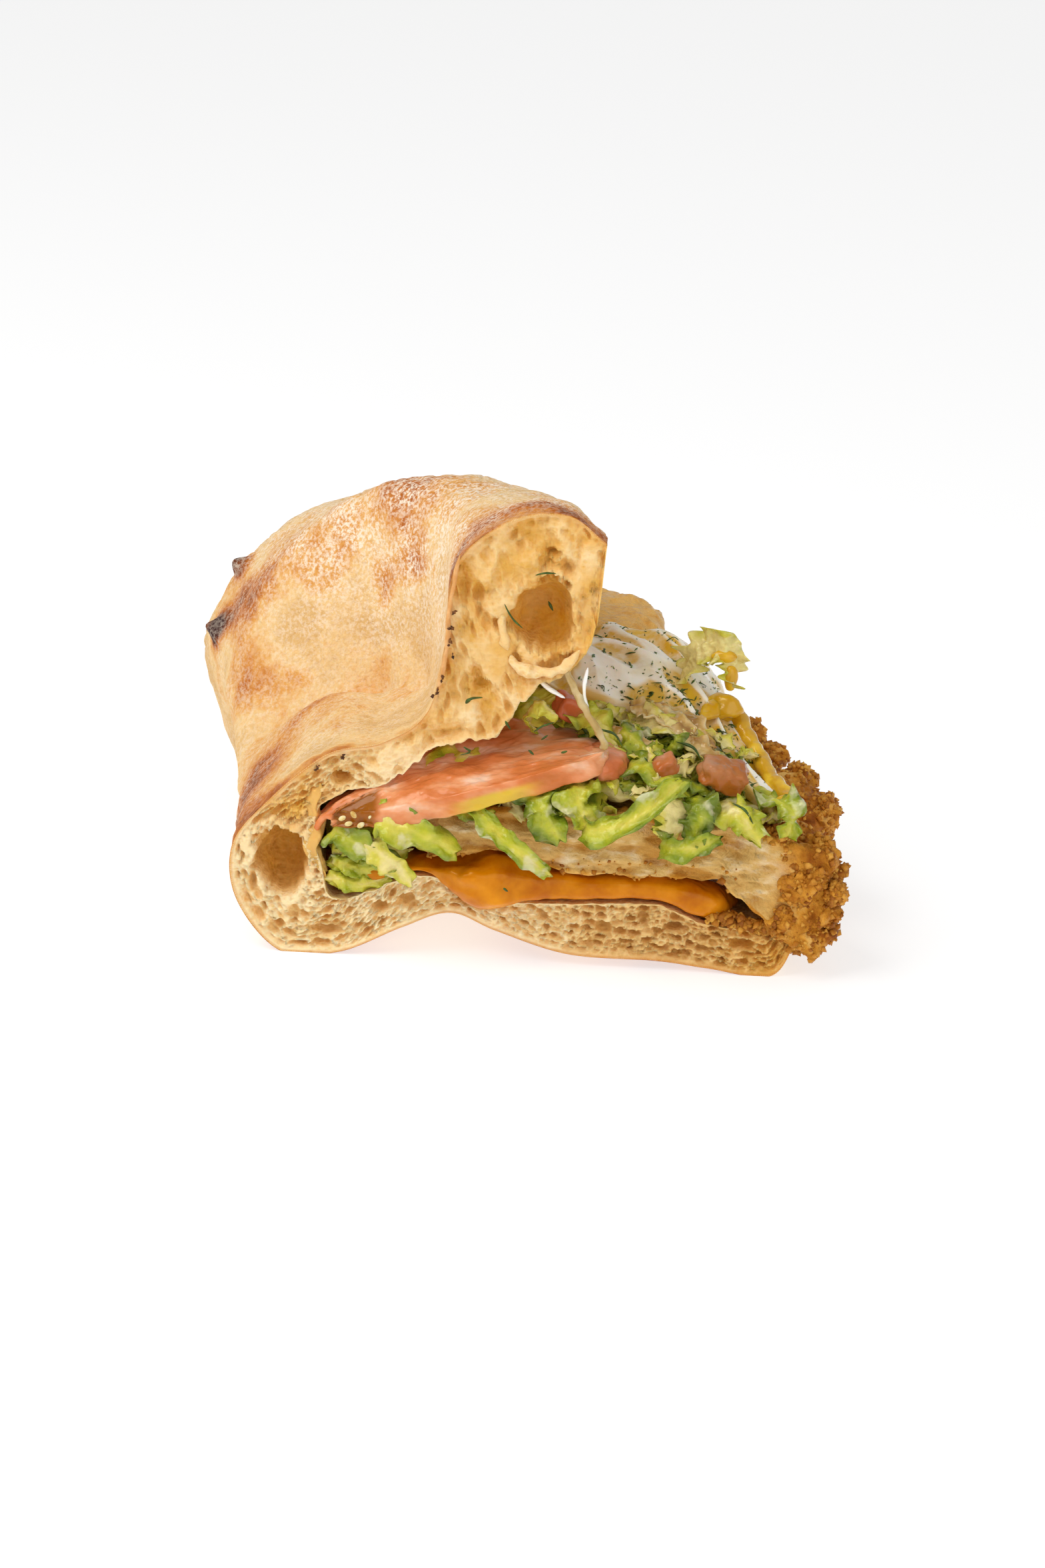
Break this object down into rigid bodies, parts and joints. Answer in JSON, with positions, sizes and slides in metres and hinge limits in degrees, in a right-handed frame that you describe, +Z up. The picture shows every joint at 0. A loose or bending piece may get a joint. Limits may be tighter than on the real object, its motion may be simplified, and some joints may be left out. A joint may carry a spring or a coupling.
{
  "type": "crumbed cutlet sandwich half",
  "caption": "Cut half of a folded flat roll filled with a crumbed cutlet, melted cheese, tomato, shredded lettuce, herb sauce and yellow curry sauce.",
  "frame": {"origin": "middle of the sandwich's footprint, on the surface that it rests on", "axes": "+Z up; -Y faces out of the cut; -X is the fold of the roll and +X its open side"},
  "size_m": [0.1572, 0.1432, 0.1072],
  "materials": {
    "bread": "baked wheat crust dusted with flour, pale open crumb at the cut",
    "cheese": "melted orange cheese, glossy",
    "cutlet": "fried breadcrumb coating, pale meat at the cut",
    "glazed_cutlet": "fried coating glazed with yellow curry sauce",
    "tomato": "wet tomato flesh",
    "lettuce": "shredded green lettuce, wet",
    "herb_sauce": "thick white sauce with chopped dill",
    "curry_sauce": "thick glossy yellow curry sauce",
    "onion": "pale translucent onion strand"
  },
  "bodies": {
    "root": {"bread": "bread", "cheese": "cheese", "cutlet": "cutlet", "cutlet_upper": "glazed_cutlet", "tomato_slice": "tomato", "tomato_end": "tomato", "tomato_dice_1": "tomato", "tomato_dice_2": "tomato", "tomato_dice_3": "tomato", "lettuce": "lettuce", "lettuce_leaf_top": "lettuce", "herb_sauce": "herb_sauce", "curry_sauce": "curry_sauce", "onion_strand": "onion"}
  },
  "joints": []
}
